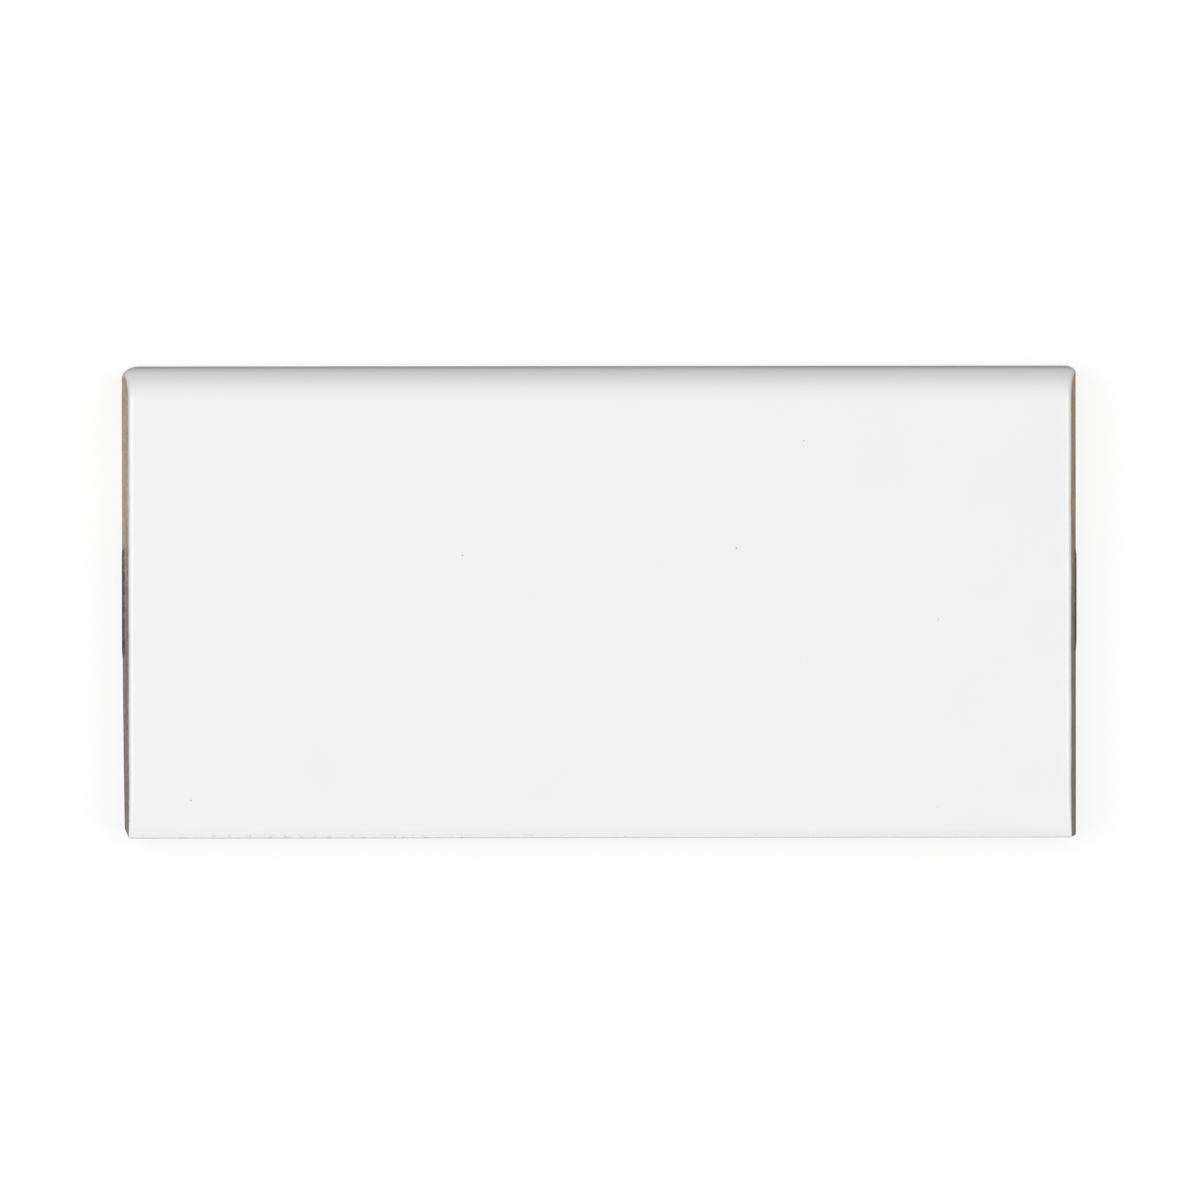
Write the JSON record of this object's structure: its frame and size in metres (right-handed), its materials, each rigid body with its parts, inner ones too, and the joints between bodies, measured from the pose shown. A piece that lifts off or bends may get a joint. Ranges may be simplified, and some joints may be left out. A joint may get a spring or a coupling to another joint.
{
  "type": "ceramic bullnose tile",
  "caption": "Rectangular glazed wall trim tile with one long edge rounded to a bullnose, sloping bare clay ends with spacer lugs, and a keyed back.",
  "frame": {"origin": "centre of the back, in the plane that the tile lies on", "axes": "+X along the length, +Y from the plain edge towards the bullnose, +Z out of the glazed face"},
  "size_m": [0.1542, 0.0762, 0.008],
  "materials": {
    "white_glaze": "gloss white glaze on the face, the cushion edges and the bullnose, with bare tan fired clay on the other sides and the back"
  },
  "bodies": {
    "root": {"bullnose_tile": "white_glaze"}
  },
  "joints": []
}
